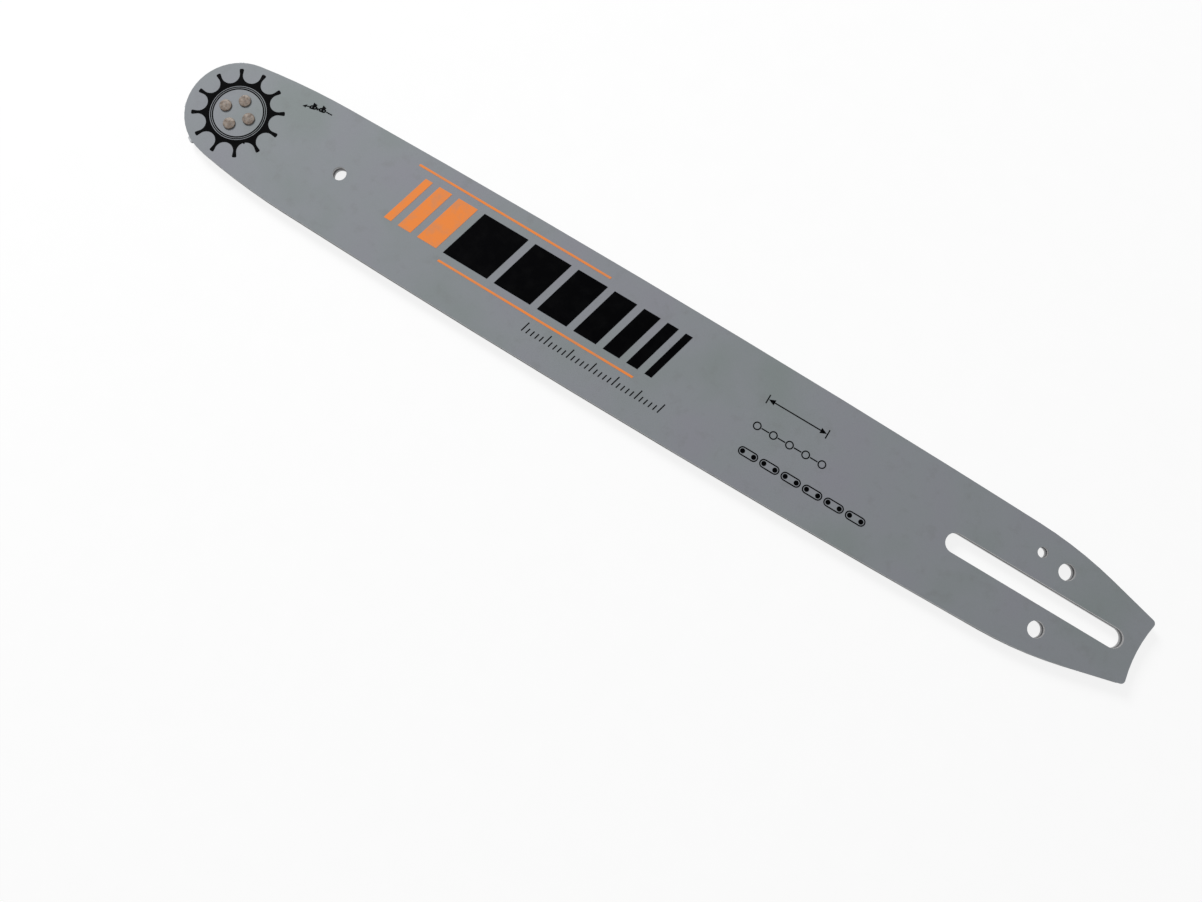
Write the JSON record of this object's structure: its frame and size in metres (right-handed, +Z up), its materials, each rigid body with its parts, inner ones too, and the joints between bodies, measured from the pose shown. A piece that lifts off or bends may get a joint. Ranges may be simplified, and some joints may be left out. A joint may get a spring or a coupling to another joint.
{
  "type": "chainsaw guide bar",
  "caption": "Flat laminated guide bar for a chainsaw, with a sprocket nose, an edge groove for the chain, a stud slot and adjuster holes.",
  "frame": {"origin": "middle of the bar's length and width, on the plane of the rivets' lower ends that it lies on", "axes": "+X along the bar towards the sprocket nose, +Y across it, +Z up through the plates, towards the printed side"},
  "size_m": [0.4572, 0.056, 0.0049],
  "materials": {
    "plate_finish": "satin grey",
    "core_steel": "rolled",
    "sprocket_steel": "hardened",
    "bearing_steel": "ground",
    "rivet_steel": "satin",
    "black_ink": "printed",
    "orange_ink": "printed"
  },
  "bodies": {
    "bar": {"upper_side_plate": "plate_finish", "core_plate": "core_steel", "lower_side_plate": "plate_finish", "bearing_race": "bearing_steel", "nose_rivets": "rivet_steel", "black_print": "black_ink", "orange_print": "orange_ink"},
    "sprocket": {"nose_sprocket": "sprocket_steel"},
    "rollers": {"bearing_roller_01": "bearing_steel", "bearing_roller_02": "bearing_steel", "bearing_roller_03": "bearing_steel", "bearing_roller_04": "bearing_steel", "bearing_roller_05": "bearing_steel", "bearing_roller_06": "bearing_steel", "bearing_roller_07": "bearing_steel", "bearing_roller_08": "bearing_steel", "bearing_roller_09": "bearing_steel", "bearing_roller_10": "bearing_steel", "bearing_roller_11": "bearing_steel", "bearing_roller_12": "bearing_steel", "bearing_roller_13": "bearing_steel", "bearing_roller_14": "bearing_steel", "bearing_roller_15": "bearing_steel", "bearing_roller_16": "bearing_steel", "bearing_roller_17": "bearing_steel", "bearing_roller_18": "bearing_steel", "bearing_roller_19": "bearing_steel"}
  },
  "joints": [
    {"name": "sprocket_spin", "type": "hinge", "parent": "bar", "child": "sprocket", "pos_m": [0.2056, 0, 0.00248], "axis": [0, 0, 1], "continuous": true},
    {"name": "roller_orbit", "type": "hinge", "parent": "bar", "child": "rollers", "pos_m": [0.2056, 0, 0.00248], "axis": [0, 0, 1], "continuous": true}
  ],
  "couplings": [
    {"joint": "roller_orbit", "follows": "sprocket_spin", "ratio": 0.5807}
  ]
}
